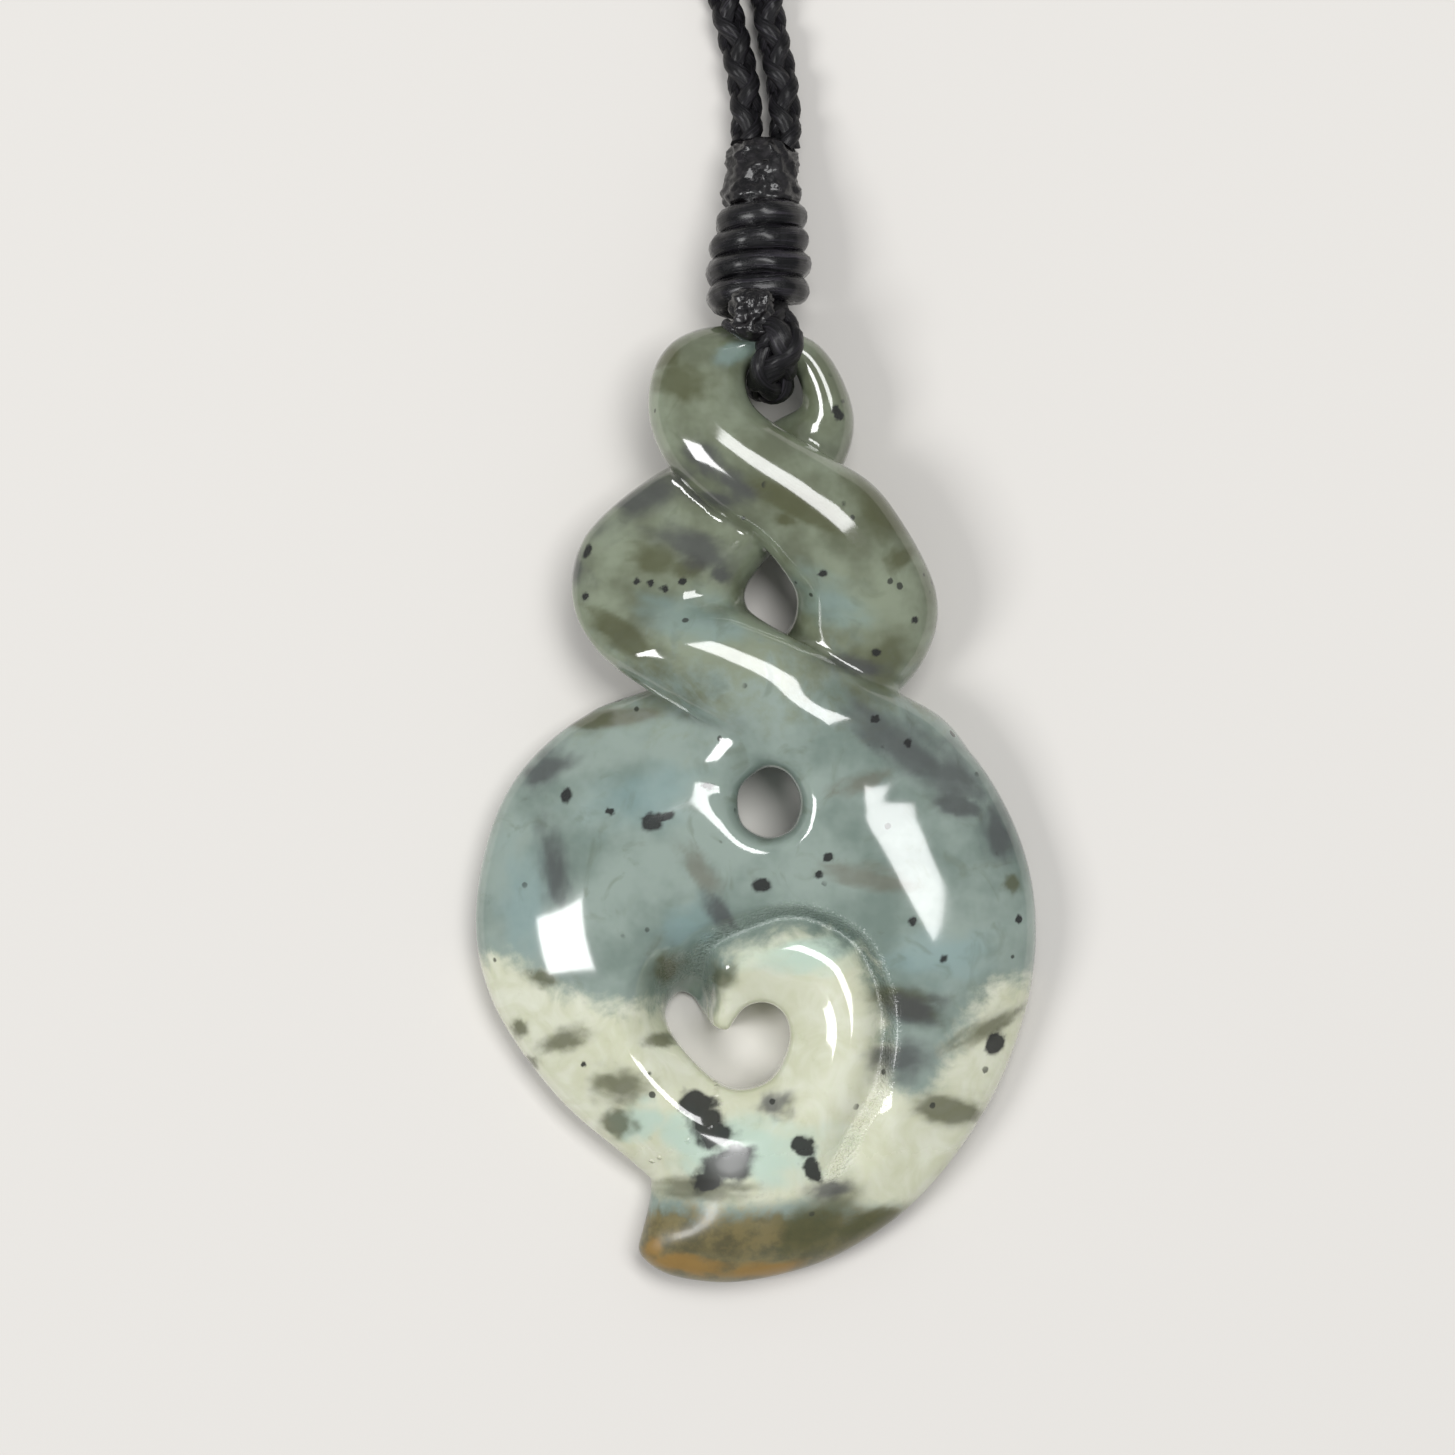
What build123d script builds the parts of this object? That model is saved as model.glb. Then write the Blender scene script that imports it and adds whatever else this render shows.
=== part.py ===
from build123d import *
from math import cos, pi, radians, sin, tan
import os

# A koru twist pendant carved from one piece of jade, on a black plaited neck cord.
# It lies on the flat back of its disc, front up, with the cord laid out beyond its ring.
# The origin is the middle of that flat back, +X to the right and +Y towards the cord.

# The stone
PENDANT_LENGTH = 50.5
PENDANT_WIDTH = 29.6
CROSSING_THICK = 7.4
STRAND_THICK = 4.3
DISC_THICK = 5.8
DISC_RISE = 3.4
FRONT_ROUNDING = 1.1
BACK_ROUNDING = 0.8

# The neck cord and what binds it
CORD_DIAMETER = 1.9
LEG_GAP = 0.12
BIGHT_WIDTH = 2.2
BIGHT_THICK = 1.6
BIGHT_OFFSET = 1.05
BIGHT_SPARE_TURN = 50
SEAT_GAP = 0.1
BIGHT_GAP = 0.3
FACE_GAP = 0.05
ROLLS = 4
ROLL_LENGTH = 1.5
BINDING_WIDTH = 5.3
BINDING_THICK = 4.8
ROLL_ROUNDING = 0.55
FOOT_KNOT_RADIUS = 0.85
FOOT_KNOT_LENGTH = 2.0
FOOT_KNOT_ROUNDING = 0.55
COLLAR_LENGTH = 3.4
COLLAR_FOOT = (4.4, 3.6)
COLLAR_TOP = (4.1, 2.9)
BINDING_LEAN = 3.0
BINDING_SIDEWAYS = -0.1
BINDING_DROOP = 10.0
BACK_KNOT_DIAMETER = 5.2
BACK_KNOT_LENGTH = 12.0
BACK_KNOT_ROUNDING = 1.2
LEG_STRAIGHT = 2.6
BACK_STRAIGHT = 4.4

OVAL_POINTS = 12
SECOND_STRAND_LOWER_COUNT = 8

# Strand sections, along the strand from the top of the ring. An edge is a place in plan, its x a share
# of the pendant's width and its y of its length. Middle height is a share of the crossing's thickness,
# and thickness a share of the strand's.
# left edge x, y, right edge x, y, middle height, thickness
RING_TOP = (0.003, 0.646, 0.003, 0.688, 0.51, 0.58)
FIRST_STRAND = [
    (-0.012, 0.640, -0.148, 0.665, 0.54, 0.78),
    (-0.015, 0.615, -0.192, 0.607, 0.60, 0.93),
    (0.004, 0.595, -0.162, 0.543, 0.66, 1.00),
    (0.052, 0.575, -0.077, 0.492, 0.70, 1.00),
    (0.132, 0.547, 0.003, 0.459, 0.70, 1.00),
    (0.229, 0.506, 0.054, 0.423, 0.64, 1.05),
    (0.321, 0.407, 0.072, 0.399, 0.52, 1.10),
    (0.295, 0.332, 0.061, 0.370, 0.42, 1.05),
    (0.176, 0.266, 0.026, 0.358, 0.32, 1.00),
    (0.043, 0.228, -0.077, 0.342, 0.30, 1.00),
    (-0.036, 0.192, -0.187, 0.308, 0.30, 0.95),
    (-0.089, 0.140, -0.293, 0.285, 0.30, 0.90),
]
SECOND_STRAND = [
    (0.118, 0.660, 0.062, 0.642, 0.52, 0.58),
    (0.174, 0.588, 0.083, 0.602, 0.44, 0.82),
    (0.146, 0.526, 0.040, 0.588, 0.34, 0.95),
    (0.079, 0.474, -0.059, 0.557, 0.305, 1.00),
    (0.011, 0.435, -0.178, 0.530, 0.34, 1.00),
    (-0.019, 0.407, -0.302, 0.467, 0.42, 1.05),
    (-0.013, 0.391, -0.326, 0.399, 0.50, 1.10),
    (0.011, 0.377, -0.275, 0.343, 0.60, 1.08),
    (0.079, 0.355, -0.169, 0.299, 0.68, 1.02),
    (0.158, 0.332, -0.019, 0.247, 0.70, 1.00),
    (0.256, 0.302, 0.073, 0.197, 0.64, 1.00),
    (0.362, 0.249, 0.079, 0.161, 0.54, 1.00),
    (0.444, 0.155, 0.105, 0.088, 0.42, 0.95),
    (0.462, 0.052, 0.167, 0.026, 0.34, 0.86),
    (0.430, -0.045, 0.215, -0.045, 0.24, 0.62),
]

# The groove that sets off the koru's curl, cut with a round tool that runs out at the disc's foot.
# inner edge x, y, outer edge x, y, middle height as a share of the disc, width of the tool in height
GROOVE = [
    (-0.077, -0.034, -0.162, 0.000, 0.97, 0.60),
    (-0.070, 0.010, -0.141, 0.031, 0.97, 0.60),
    (-0.050, 0.033, -0.098, 0.057, 0.97, 0.58),
    (0.008, 0.049, -0.013, 0.076, 0.97, 0.56),
    (0.079, 0.055, 0.082, 0.083, 0.96, 0.56),
    (0.153, 0.036, 0.181, 0.058, 0.94, 0.54),
    (0.195, 0.000, 0.238, 0.010, 0.92, 0.52),
    (0.203, -0.052, 0.250, -0.054, 0.90, 0.48),
    (0.181, -0.109, 0.224, -0.119, 0.88, 0.42),
    (0.146, -0.156, 0.178, -0.167, 0.85, 0.34),
    (0.105, -0.197, 0.128, -0.208, 0.83, 0.24),
]

# Outlines in plan, as x and y shares of the pendant's width and length
DISC_OUTLINE = [
    (-0.204, 0.302), (-0.346, 0.263), (-0.452, 0.189), (-0.498, 0.078), (-0.470, -0.016),
    (-0.372, -0.109), (-0.302, -0.171), (-0.254, -0.238), (-0.187, -0.293), (-0.098, -0.310),
    (0.008, -0.308), (0.149, -0.282), (0.291, -0.223), (0.415, -0.126), (0.486, -0.016),
    (0.496, 0.088), (0.450, 0.179), (0.353, 0.257), (0.220, 0.283), (0.061, 0.280), (-0.080, 0.295),
]
LOWER_EYE = [
    (-0.024, 0.207), (0.017, 0.225), (0.056, 0.219), (0.079, 0.192),
    (0.065, 0.163), (0.022, 0.153), (-0.020, 0.165), (-0.031, 0.187),
]
HEART = [
    (-0.049, -0.048), (-0.019, -0.024), (0.022, -0.019), (0.054, -0.034), (0.059, -0.062),
    (0.029, -0.097), (-0.027, -0.109), (-0.077, -0.098), (-0.137, -0.062), (-0.160, -0.031),
    (-0.134, -0.010), (-0.103, -0.024), (-0.075, -0.044), (-0.049, -0.048),
]
NOTCH_RIM = [(-0.417, -0.080), (-0.319, -0.138), (-0.240, -0.176), (-0.185, -0.204)]
NOTCH_FACE = [(-0.185, -0.204), (-0.190, -0.233), (-0.216, -0.290)]
NOTCH_OUTSIDE = [(-0.300, -0.400), (-0.600, -0.200)]

# The neck cord's route from the collar to the back knot, as it was laid out by hand
LEFT_ROUTE = [
    (-1.6, 51.6, 1.0), (-3.6, 60.5, 0.96), (-8.5, 73.0, 0.96), (-20.0, 91.0, 0.96),
    (-36.0, 112.0, 0.96), (-49.5, 138.5, 0.96), (-54.0, 168.0, 0.96), (-48.5, 196.0, 0.96),
    (-35.5, 217.0, 0.96), (-21.5, 229.0, 0.96), (-12.6, 234.0, 0.98),
]
RIGHT_ROUTE = [
    (0.5, 51.6, 1.0), (0.0, 61.0, 0.96), (5.0, 73.5, 0.96), (18.5, 90.0, 0.96),
    (36.0, 109.5, 0.96), (51.0, 135.5, 0.96), (57.0, 165.5, 0.96), (53.0, 194.5, 0.96),
    (41.0, 216.0, 0.96), (28.0, 228.2, 0.96), (19.6, 233.6, 0.98),
]
BACK_KNOT_CENTRE = (3.5, 237.0)

# Heights along the binding's axis, from the middle of the ring's top
RING_HALF = (RING_TOP[3] - RING_TOP[1]) / 2 * PENDANT_LENGTH
BINDING_FOOT = RING_HALF + SEAT_GAP
BINDING_TOP = BINDING_FOOT + ROLLS * ROLL_LENGTH
COLLAR_END = BINDING_TOP + COLLAR_LENGTH


def place(x_share, y_share, height=0.0):
    """A point of the stone from its shares of the pendant's width and length."""
    return Vector(x_share * PENDANT_WIDTH, y_share * PENDANT_LENGTH, height)


def section(left_x, left_y, right_x, right_y, height, thick):
    """An upright oval between two edges in plan, drawn from its top."""
    left = place(left_x, left_y, height)
    right = place(right_x, right_y, height)
    across = right - left
    angles = [radians(90 - 360 * i / OVAL_POINTS) for i in range(OVAL_POINTS)]
    spots = [(across.length / 2 * cos(a), thick / 2 * sin(a)) for a in angles]
    plane = Plane(origin=(left + right) / 2, x_dir=across, z_dir=Vector(0, 0, 1).cross(across))
    return plane * make_face(Spline(*spots, periodic=True))


def strand(rows):
    """A length of strand, lofted through its oval sections."""
    return loft([section(*row[:4], row[4] * CROSSING_THICK, row[5] * STRAND_THICK) for row in rows])


def turned(rows):
    """The same sections taken the other way along the strand."""
    return [(rx, ry, lx, ly, height, thick) for lx, ly, rx, ry, height, thick in reversed(rows)]


def outline_face(points, share=1.0):
    """A face inside a smooth closed outline, or a share of its size."""
    return make_face(Spline(*[place(*p) * share for p in points], periodic=True))


def disc():
    """The disc, domed in front and flat behind, its rims eased, with the notch at its tail."""
    wall_top = DISC_THICK - DISC_RISE - FRONT_ROUNDING / 2
    rims = [
        (0, 1 - 2 * BACK_ROUNDING / PENDANT_WIDTH),
        (BACK_ROUNDING, 1),
        (wall_top, 1),
        (DISC_THICK, 1 - 2 * (DISC_THICK - wall_top) / PENDANT_WIDTH),
    ]
    outlines = [Pos(0, 0, height) * outline_face(DISC_OUTLINE, share) for height, share in rims]
    half_span = PENDANT_WIDTH / 2
    dome_radius = (half_span**2 + DISC_RISE**2) / (2 * DISC_RISE)
    dome = Pos(0, 0, DISC_THICK - dome_radius) * Rot(0, 90, 0) * Sphere(dome_radius)
    rim = [place(*p) for p in NOTCH_RIM]
    tail_face = [place(*p) for p in NOTCH_FACE]
    outside = [place(*p) for p in NOTCH_OUTSIDE]
    notch = make_face(
        Spline(*rim) + Spline(*tail_face) + Polyline(tail_face[-1], *outside, rim[0])
    )
    return (loft(outlines, ruled=True) & dome) - extrude(notch, DISC_THICK, both=True)


def jade_pendant():
    """The whole stone: both strands and the disc are one carving."""
    first = strand([RING_TOP] + FIRST_STRAND)
    second = turned(SECOND_STRAND) + [RING_TOP]
    lower = strand(second[:SECOND_STRAND_LOWER_COUNT])
    upper = strand(second[SECOND_STRAND_LOWER_COUNT - 1:])
    groove = loft([section(*row[:4], row[4] * DISC_THICK, row[5] * STRAND_THICK) for row in GROOVE])
    heart = make_face(Spline(*[place(*p) for p in HEART]))
    stone = disc() - groove - extrude(heart, 2 * DISC_THICK, both=True)
    stone += upper + lower
    stone += first
    return stone - extrude(outline_face(LOWER_EYE), 2 * CROSSING_THICK, both=True)


def ring_top_place():
    """The middle of the stone where the cord goes round the top of the ring."""
    in_x, in_y, out_x, out_y, height, _ = RING_TOP
    return place((in_x + out_x) / 2, (in_y + out_y) / 2, height * CROSSING_THICK)


def binding_plane(distance=0.0, sideways=0.0):
    """A plane across the binding, some way up its axis from the middle of the ring's top."""
    lean, droop = radians(BINDING_LEAN), radians(BINDING_DROOP)
    axis = Vector(sin(lean) * cos(droop), cos(lean) * cos(droop), -sin(droop))
    to_right = Vector(cos(lean), -sin(lean), 0)
    origin = ring_top_place() + axis * distance + to_right * (BINDING_SIDEWAYS + sideways)
    return Plane(origin=origin, x_dir=to_right, z_dir=axis)


def cord_bight():
    """The cord's fold: through the ring, round its top, and up to the foot of the binding."""
    reach = RING_TOP[5] * STRAND_THICK / 2 + BIGHT_GAP + BIGHT_THICK / 2
    oval = Rot(BIGHT_SPARE_TURN, 0, 0) * Pos(0, reach) * Ellipse(BIGHT_WIDTH / 2, BIGHT_THICK / 2)
    fold = revolve(oval, -Axis.X, 180 + 2 * BIGHT_SPARE_TURN)
    above = Box(4 * reach, 4 * reach, 4 * reach, align=(Align.CENTER, Align.CENTER, Align.MIN))
    return binding_plane(0, BIGHT_OFFSET) * (fold - Pos(0, 0, BINDING_FOOT - FACE_GAP) * above)


def cord_binding():
    """The cord wound round both legs in plump rolls, with the knot of its end at the foot."""
    roll = extrude(Ellipse(BINDING_WIDTH / 2, BINDING_THICK / 2), ROLL_LENGTH)
    roll = fillet(roll.edges().filter_by(GeomType.ELLIPSE), ROLL_ROUNDING)
    core = Ellipse(BINDING_WIDTH / 2 - ROLL_ROUNDING, BINDING_THICK / 2 - ROLL_ROUNDING)
    body = extrude(core, ROLLS * ROLL_LENGTH)
    for turn in range(ROLLS):
        body += Pos(0, 0, turn * ROLL_LENGTH) * roll
    knot = Cylinder(FOOT_KNOT_RADIUS, FOOT_KNOT_LENGTH, rotation=(0, 90, 0))
    knot = fillet(knot.edges().filter_by(GeomType.CIRCLE), FOOT_KNOT_ROUNDING)
    knot_place = (-BINDING_WIDTH / 4, FOOT_KNOT_RADIUS / 3 - BINDING_THICK / 2, FOOT_KNOT_RADIUS / 2)
    return binding_plane(BINDING_FOOT) * (body + Pos(*knot_place) * knot)


def cord_collar():
    """The melted, sealed ends that hold the binding's top."""
    foot = binding_plane(BINDING_TOP + FACE_GAP) * Ellipse(COLLAR_FOOT[0] / 2, COLLAR_FOOT[1] / 2)
    top = binding_plane(COLLAR_END) * Ellipse(COLLAR_TOP[0] / 2, COLLAR_TOP[1] / 2)
    return loft([foot, top])


def cord_tube(name, start, route, end):
    """A cord along straight runs joined by arcs as large as the runs allow."""
    spots = [Vector(p) for p in (start, *route, end)]
    runs = [b - a for a, b in zip(spots, spots[1:])]
    radii = []
    for before, after in zip(runs, runs[1:]):
        turn = radians(before.get_angle(after))
        radii.append(0.45 * min(before.length, after.length) / tan(turn / 2))
    path = FilletPolyline(*spots, radius=radii)
    tube = sweep(Plane(origin=spots[0], z_dir=runs[0]) * Circle(CORD_DIAMETER / 2), path=path)
    expected = pi * (CORD_DIAMETER / 2) ** 2 * path.length
    print(name, "radii", [round(r, 1) for r in radii], "runs", [round(r.length, 1) for r in runs])
    print(name, "length", round(path.length, 2), "volume over expected", round(tube.volume / expected, 5))
    return tube


def leg_start(side):
    """Where a leg of the neck cord leaves the collar, and a point straight out of it."""
    sideways = side * (CORD_DIAMETER + LEG_GAP) / 2
    return [binding_plane(COLLAR_END + out, sideways).origin for out in (0, LEG_STRAIGHT)]


def back_knot_end(side):
    """Where a half of the neck cord meets the knot behind the neck, and a point straight out of it."""
    x, y = BACK_KNOT_CENTRE
    ends = [BACK_KNOT_LENGTH / 2 + out for out in (0, BACK_STRAIGHT)]
    return [Vector(x + side * end, y, BACK_KNOT_DIAMETER / 2) for end in ends]


def neck_cord(name, side, route):
    """Half of the neck cord, from the collar round to the back knot."""
    start, start_out = leg_start(side)
    end, end_out = back_knot_end(side)
    return cord_tube(name, start, [start_out, *route, end_out], end)


def back_knot():
    """The plain wound knot behind the neck, into which both halves go."""
    x, y = BACK_KNOT_CENTRE
    barrel = Cylinder(BACK_KNOT_DIAMETER / 2, BACK_KNOT_LENGTH, rotation=(0, 90, 0))
    barrel = fillet(barrel.edges().filter_by(GeomType.CIRCLE), BACK_KNOT_ROUNDING)
    return Pos(x, y, BACK_KNOT_DIAMETER / 2) * barrel


parts = {
    "jade_pendant": jade_pendant(),
    "cord_bight": cord_bight(),
    "cord_binding": cord_binding(),
    "cord_collar": cord_collar(),
    "neck_cord_left": neck_cord("neck_cord_left", -1, LEFT_ROUTE),
    "neck_cord_right": neck_cord("neck_cord_right", 1, RIGHT_ROUTE),
    "back_knot": back_knot(),
}
os.makedirs("parts", exist_ok=True)
for node, shape in parts.items():
    export_step(shape, f"parts/{node}.step")
    print(node, len(shape.solids()), round(shape.volume, 2), shape.is_valid)
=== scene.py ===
import bpy
import math
import numpy as np
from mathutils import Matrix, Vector, noise


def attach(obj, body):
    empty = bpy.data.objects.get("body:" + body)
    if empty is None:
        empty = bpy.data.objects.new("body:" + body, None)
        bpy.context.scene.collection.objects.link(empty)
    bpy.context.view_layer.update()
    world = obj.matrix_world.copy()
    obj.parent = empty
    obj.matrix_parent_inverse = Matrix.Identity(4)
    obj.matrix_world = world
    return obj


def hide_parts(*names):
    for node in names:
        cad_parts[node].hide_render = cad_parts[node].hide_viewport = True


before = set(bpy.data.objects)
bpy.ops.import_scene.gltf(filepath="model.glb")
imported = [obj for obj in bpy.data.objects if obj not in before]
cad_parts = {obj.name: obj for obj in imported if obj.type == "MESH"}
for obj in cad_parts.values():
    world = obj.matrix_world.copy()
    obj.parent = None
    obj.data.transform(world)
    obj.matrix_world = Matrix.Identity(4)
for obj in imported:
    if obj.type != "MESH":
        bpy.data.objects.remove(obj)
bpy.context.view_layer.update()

# The view: straight down on the pendant, which lies on its back with the cord leaving at the top.
# The picture is square and takes in 76 mm of the surface at the height of the stone's face.
PICTURE_WIDTH = 0.0762
PICTURE_MIDDLE = (-0.00147, 0.01348)
FACE_HEIGHT = 0.004
CAMERA_HEIGHT = 0.42
SENSOR = 36.0
lens = bpy.data.cameras.new("camera")
lens.sensor_width = SENSOR
lens.lens = SENSOR * (CAMERA_HEIGHT - FACE_HEIGHT) / PICTURE_WIDTH
lens.clip_start = 0.01
camera = bpy.data.objects.new("camera", lens)
camera.location = (*PICTURE_MIDDLE, CAMERA_HEIGHT)
bpy.context.scene.collection.objects.link(camera)
bpy.context.scene.camera = camera


# The neck cord: black waxed thread in a round plait of four strands, two winding each way.
# Both halves leave the melted collar side by side and go round to the knot behind the neck, by
# these places in millimetres.
LEFT_ROUTE = [
    (-0.48, 44.13, 1.94), (-0.34, 46.68, 1.49), (-1.6, 51.6, 1), (-3.6, 60.5, 0.96), (-8.5, 73, 0.96),
    (-20, 91, 0.96), (-36, 112, 0.96), (-49.5, 138.5, 0.96), (-54, 168, 0.96), (-48.5, 196, 0.96),
    (-35.5, 217, 0.96), (-21.5, 229, 0.96), (-12.6, 234, 0.98), (-6.9, 237, 2.6), (-2.5, 237, 2.6),
]
RIGHT_ROUTE = [
    (1.54, 44.02, 1.94), (1.68, 46.58, 1.49), (0.5, 51.6, 1), (0, 61, 0.96), (5, 73.5, 0.96),
    (18.5, 90, 0.96), (36, 109.5, 0.96), (51, 135.5, 0.96), (57, 165.5, 0.96), (53, 194.5, 0.96),
    (41, 216, 0.96), (28, 228.2, 0.96), (19.6, 233.6, 0.98), (13.9, 237, 2.6), (9.5, 237, 2.6),
]
# the length of a turn, a strand's distance from the middle and its dip under and over, its half width
# and half depth, and the length of one step
PLAIT = dict(Pitch=0.0048, Reach=0.00042, Weave=0.00012, Wide=0.00046, Deep=0.00042, Step=0.0003)
PLAIT_STRANDS, STRAND_SIDES = 4, 10


class Value:
    """What comes out of a node. Python's own signs work on it: 1 - mask adds the Math node."""

    def __init__(self, tree, socket):
        self.tree = tree
        self.socket = socket

    def __add__(self, other):
        return self.tree.maths("ADD", self, other)

    def __radd__(self, other):
        return self.tree.maths("ADD", other, self)

    def __sub__(self, other):
        return self.tree.maths("SUBTRACT", self, other)

    def __rsub__(self, other):
        return self.tree.maths("SUBTRACT", other, self)

    def __mul__(self, other):
        return self.tree.maths("MULTIPLY", self, other)

    def __rmul__(self, other):
        return self.tree.maths("MULTIPLY", other, self)

    def __truediv__(self, other):
        return self.tree.maths("DIVIDE", self, other)

    def __rtruediv__(self, other):
        return self.tree.maths("DIVIDE", other, self)

    def smooth(self, low, high):
        """0 below low, 1 above high, and a soft step between."""
        inputs = {"Value": self, 1: low, 2: high}
        return self.tree.node("ShaderNodeMapRange", inputs, interpolation_type="SMOOTHSTEP")


class NodeTree:
    """A tree of nodes. node() adds one from its kind, what goes into its sockets and its settings."""

    def __init__(self, tree):
        self.tree = tree

    def node(self, kind, inputs, output=0, **settings):
        node = self.tree.nodes.new(kind)
        for name, value in settings.items():
            setattr(node, name, value)
        for socket, value in inputs.items():
            if isinstance(value, Value):
                self.tree.links.new(value.socket, node.inputs[socket])
            else:
                node.inputs[socket].default_value = value
        return Value(self, node.outputs[output])

    def maths(self, operation, *terms):
        return self.node("ShaderNodeMath", dict(enumerate(terms)), operation=operation)

    def vector(self, operation, *terms):
        return self.node("ShaderNodeVectorMath", dict(enumerate(terms)), operation=operation)


class Finish(NodeTree):
    """A material, with its shader's constants given by name."""

    def __init__(self, name, **constants):
        self.material = bpy.data.materials.new(name)
        self.material.use_nodes = True
        super().__init__(self.material.node_tree)
        self.shader = self.tree.nodes["Principled BSDF"]
        for socket, value in constants.items():
            self.shader.inputs[socket.replace("_", " ")].default_value = value
        self.place = self.node("ShaderNodeTexCoord", {}, "Object")

    def grain(self, place, size, detail=2.0, rough=0.5, warp=0.0):
        """Soft noise whose lumps are about that many metres across."""
        inputs = {"Vector": place, "Scale": 1 / size, "Detail": detail, "Roughness": rough}
        return self.node("ShaderNodeTexNoise", {**inputs, "Distortion": warp})

    def mix(self, share, first, second):
        """One colour over another."""
        return self.node("ShaderNodeMix", {0: share, 6: first, 7: second}, 2, data_type="RGBA")

    def attribute(self, name, kind="Fac"):
        return self.node("ShaderNodeAttribute", {}, kind, attribute_name=name)

    def paint(self, **links):
        """Joins varying values to the shader's own sockets."""
        for socket, value in links.items():
            self.tree.links.new(value.socket, self.shader.inputs[socket.replace("_", " ")])

    def relief(self, height, depth):
        """Shades the surface as if raised by that height times that depth in metres."""
        self.paint(Normal=self.node("ShaderNodeBump", {"Height": height, "Distance": depth}))


def colour(red, green, blue):
    """A paint-chart colour, 0 to 255, as the renderer's linear one."""
    parts = [part / 255 for part in (red, green, blue)]
    return (*[part / 12.92 if part < 0.04 else ((part + 0.055) / 1.055) ** 2.4 for part in parts], 1)


# the thread's black, and the grey of a sheen painted into its colour along the fibres, stronger in patches of
# that size
THREAD_BLACK, PAINTED_THREAD_SHEEN = colour(8, 8, 9), colour(60, 56, 64)
FIBRES_ACROSS, FIBRES_A_METRE, FIBRE_HEIGHT = 5.5, 550.0, 0.00009
WAX_PATCH, SHEEN_PATCH = 0.0006, 0.003


def waxed_thread(name, shine):
    """Black thread, with fine fibres along it, a grey sheen painted into its colour along them and wax that
    shines in patches.
    """
    finish = Finish(name, Specular_IOR_Level=0.22, Coat_Weight=shine * 0.5, Coat_Roughness=0.22)
    around = finish.attribute("around", "Vector")
    run = finish.node("ShaderNodeCombineXYZ", {2: finish.attribute("along") * FIBRES_A_METRE})
    fibre_place = finish.vector("MULTIPLY_ADD", around, (FIBRES_ACROSS,) * 3, run)
    fibres = finish.grain(fibre_place, 1.0, detail=3.0, rough=0.65)
    wax = finish.grain(finish.place, WAX_PATCH, detail=3.0)
    sheen_and_wear = finish.grain(finish.place, SHEEN_PATCH)
    # painted sheen: grey along the fibres, stronger in patches
    shade = fibres.smooth(0.42, 0.78) * (0.3 + sheen_and_wear.smooth(0.35, 0.7) * 0.6)
    finish.paint(Base_Color=finish.mix(shade, THREAD_BLACK, PAINTED_THREAD_SHEEN))
    finish.paint(Roughness=0.5 - wax.smooth(0.5 - shine / 6, 0.7 - shine / 6) * (0.15 + shine * 0.2))
    finish.relief(fibres, FIBRE_HEIGHT)
    return finish.material


class Growth(NodeTree):
    """A tree of geometry nodes whose inputs are the named sizes."""

    def __init__(self, name, **sizes):
        super().__init__(bpy.data.node_groups.new(name, "GeometryNodeTree"))
        self.socket("Path", "NodeSocketGeometry")
        for size, value in sizes.items():
            kind = "NodeSocketVector" if isinstance(value, tuple) else "NodeSocketFloat"
            self.socket(size, kind).default_value = value
        self.tree.interface.new_socket("Piece", in_out="OUTPUT", socket_type="NodeSocketGeometry")
        given = self.tree.nodes.new("NodeGroupInput").outputs
        self.given = {socket.name: Value(self, socket) for socket in given}

    def socket(self, name, kind):
        return self.tree.interface.new_socket(name, in_out="INPUT", socket_type=kind)

    def scaled(self, vector, factor):
        return self.node("ShaderNodeVectorMath", {0: vector, "Scale": factor}, operation="SCALE")

    def store(self, geometry, name, value, kind="FLOAT"):
        inputs = {"Geometry": geometry, "Name": name, "Value": value}
        return self.node("GeometryNodeStoreNamedAttribute", inputs, data_type=kind, domain="POINT")

    def stored(self, name):
        return self.node("GeometryNodeInputNamedAttribute", {"Name": name}, data_type="FLOAT_VECTOR")

    def even_line(self, step):
        """The path with even points, each with its length from the start."""
        line = self.node("GeometryNodeMeshToCurve", {"Mesh": self.given["Path"]})
        line = self.node("GeometryNodeResampleCurve", {"Curve": line, "Length": step}, mode="LENGTH")
        length = self.node("GeometryNodeSplineParameter", {}, "Length")
        return self.store(line, "along", length), length

    def body(self, line, sides, deep, wide):
        """A closed oval body along a line, with the way out from its middle stored as around."""
        oval = self.node("GeometryNodeCurvePrimitiveCircle", {"Resolution": sides, "Radius": 1.0})
        oval = self.store(oval, "around", self.node("GeometryNodeInputPosition", {}), "FLOAT_VECTOR")
        size = self.node("ShaderNodeCombineXYZ", {"X": deep, "Y": wide, "Z": 1.0})
        oval = self.node("GeometryNodeTransform", {"Geometry": oval, "Scale": size})
        return self.node("GeometryNodeCurveToMesh", {"Curve": line, "Profile Curve": oval, "Fill Caps": True})

    def finish(self, piece, material):
        piece = self.node("GeometryNodeSetShadeSmooth", {"Geometry": piece})
        piece = self.node("GeometryNodeRealizeInstances", {"Geometry": piece})
        piece = self.node("GeometryNodeSetMaterial", {"Geometry": piece, "Material": material})
        self.tree.links.new(piece.socket, self.tree.nodes.new("NodeGroupOutput").inputs[0])
        return self.tree


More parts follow.
